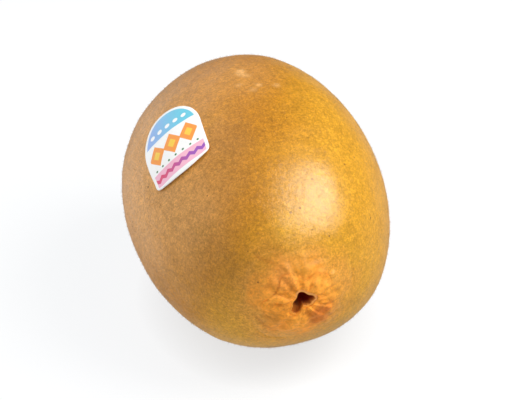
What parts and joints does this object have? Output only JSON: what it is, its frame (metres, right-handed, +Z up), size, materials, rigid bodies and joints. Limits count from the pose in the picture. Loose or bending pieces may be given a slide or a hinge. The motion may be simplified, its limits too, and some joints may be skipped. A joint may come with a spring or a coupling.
{
  "type": "golden kiwi fruit",
  "caption": "Whole golden kiwi fruit lying on its side, with a puckered stem scar ringed by dried sepals, a tuft of dried styles at the other end and a small plain label.",
  "frame": {"origin": "on the resting surface, under the middle of the fruit's bounding box", "axes": "+Y along the fruit's long axis, from the stem end towards the blossom end; +Z up from the flat spot that it rests on"},
  "size_m": [0.0542, 0.077, 0.0526],
  "materials": {
    "skin": "satin",
    "calyx": "matte",
    "styles": "matte",
    "label": "satin"
  },
  "bodies": {
    "root": {"fruit_body": "skin", "dried_calyx": "calyx", "dried_styles": "styles", "fruit_label": "label"}
  },
  "joints": []
}
